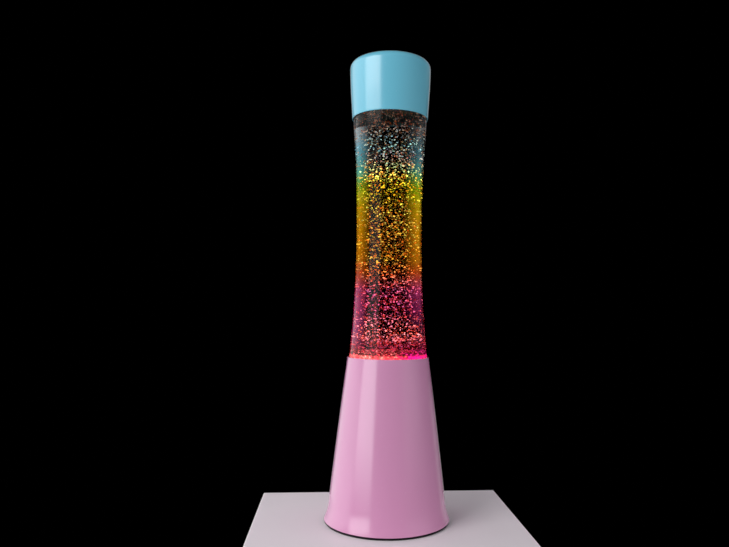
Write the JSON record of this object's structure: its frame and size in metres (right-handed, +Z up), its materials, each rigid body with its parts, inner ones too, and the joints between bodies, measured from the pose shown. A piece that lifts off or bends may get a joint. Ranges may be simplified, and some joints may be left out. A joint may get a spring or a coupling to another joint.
{
  "type": "glitter motion lamp",
  "caption": "Tall glitter lamp: flared gloss base with a bulb inside, waisted glass bottle of glitter liquid standing in it, rounded lift-off metal cap.",
  "frame": {"origin": "on the floor under the lamp's axis, in the middle of the four rubber feet", "axes": "+Z up along the lamp's axis to the cap; -Y towards the camera; +Y to the back, where the cord inlet is"},
  "size_m": [0.1096, 0.1096, 0.4],
  "materials": {
    "pink_paint": "gloss pink paint on spun steel",
    "blue_paint": "gloss light blue paint on drawn steel",
    "black_paint": "satin black paint",
    "rubber": "matt black rubber",
    "silicone": "translucent grey silicone",
    "foam": "white closed-cell foam",
    "steel": "zinc-plated steel",
    "brass": "plain brass",
    "nickel": "nickel-plated brass",
    "tungsten": "dull tungsten coil",
    "clear_glass": "clear polished glass",
    "clear_liquid": "clear watery liquid with glitter in it",
    "glitter": "wet settled glitter flakes",
    "silvered_glass": "reflector bulb, silvered inside round a frosted front",
    "holder_plastic": "moulded heat-proof plastic",
    "ceramic": "glazed ceramic",
    "black_glass": "opaque black glass",
    "liner": "soft sealing disc",
    "lacquered_tinplate": "gold-lacquered tinplate",
    "brown_lead": "brown lead insulation",
    "blue_lead": "blue lead insulation",
    "green_lead": "green and yellow lead insulation"
  },
  "bodies": {
    "base": {"base_shell": "pink_paint", "bottom_plate": "black_paint", "rubber_foot_1": "rubber", "rubber_foot_2": "rubber", "rubber_foot_3": "rubber", "rubber_foot_4": "rubber", "plate_lug_1": "steel", "plate_lug_2": "steel", "plate_lug_3": "steel", "plate_screw_1": "steel", "plate_screw_2": "steel", "plate_screw_3": "steel", "seat_ring": "steel", "seat_pad": "silicone", "holder_bracket": "steel", "bracket_rivet_1": "steel", "bracket_rivet_2": "steel", "threaded_nipple": "steel", "nipple_nut": "steel", "holder_cup": "holder_plastic", "holder_core": "ceramic", "holder_screw_1": "brass", "holder_screw_2": "brass", "holder_skirt": "holder_plastic", "thread_sleeve": "brass", "centre_contact": "brass", "terminal_block": "holder_plastic", "block_screw_1": "brass", "block_screw_2": "brass", "block_screw_3": "brass", "live_lead": "brown_lead", "neutral_lead": "blue_lead", "earth_tag": "brass", "earth_screw": "steel", "earth_lead": "green_lead", "cord_grommet": "rubber"},
    "bottle": {"glass_bottle": "clear_glass", "liquid": "clear_liquid", "settled_glitter": "glitter", "drifting_glitter_1": "glitter", "drifting_glitter_2": "glitter", "drifting_glitter_3": "glitter", "drifting_glitter_4": "glitter", "drifting_glitter_5": "glitter", "drifting_glitter_6": "glitter", "drifting_glitter_7": "glitter", "drifting_glitter_8": "glitter", "crown_liner": "liner", "crown_cap": "lacquered_tinplate"},
    "cap": {"cap_shell": "blue_paint", "cap_foam": "foam"},
    "bulb_contact": {"bulb_tip": "nickel"},
    "bulb": {"bulb_base": "nickel", "bulb_insulator": "black_glass", "bulb_glass": "silvered_glass", "bulb_stem": "clear_glass", "filament": "tungsten"}
  },
  "joints": [
    {"name": "bottle_lift", "type": "slide", "parent": "base", "child": "bottle", "axis": [0, 0, 1], "range_m": [0, 0.06]},
    {"name": "cap_lift", "type": "slide", "parent": "bottle", "child": "cap", "axis": [0, 0, 1], "range_m": [0, 0.07]},
    {"name": "bulb_rise", "type": "slide", "parent": "base", "child": "bulb_contact", "axis": [0, 0, 1], "range_m": [0, 0.0085]},
    {"name": "bulb_turn", "type": "hinge", "parent": "bulb_contact", "child": "bulb", "pos_m": [0, 0, 0], "axis": [0, 0, 1], "range_deg": [0, 1080]}
  ],
  "couplings": [
    {"joint": "bulb_rise", "follows": "bulb_turn", "m_per_rad": 0.00044913}
  ]
}
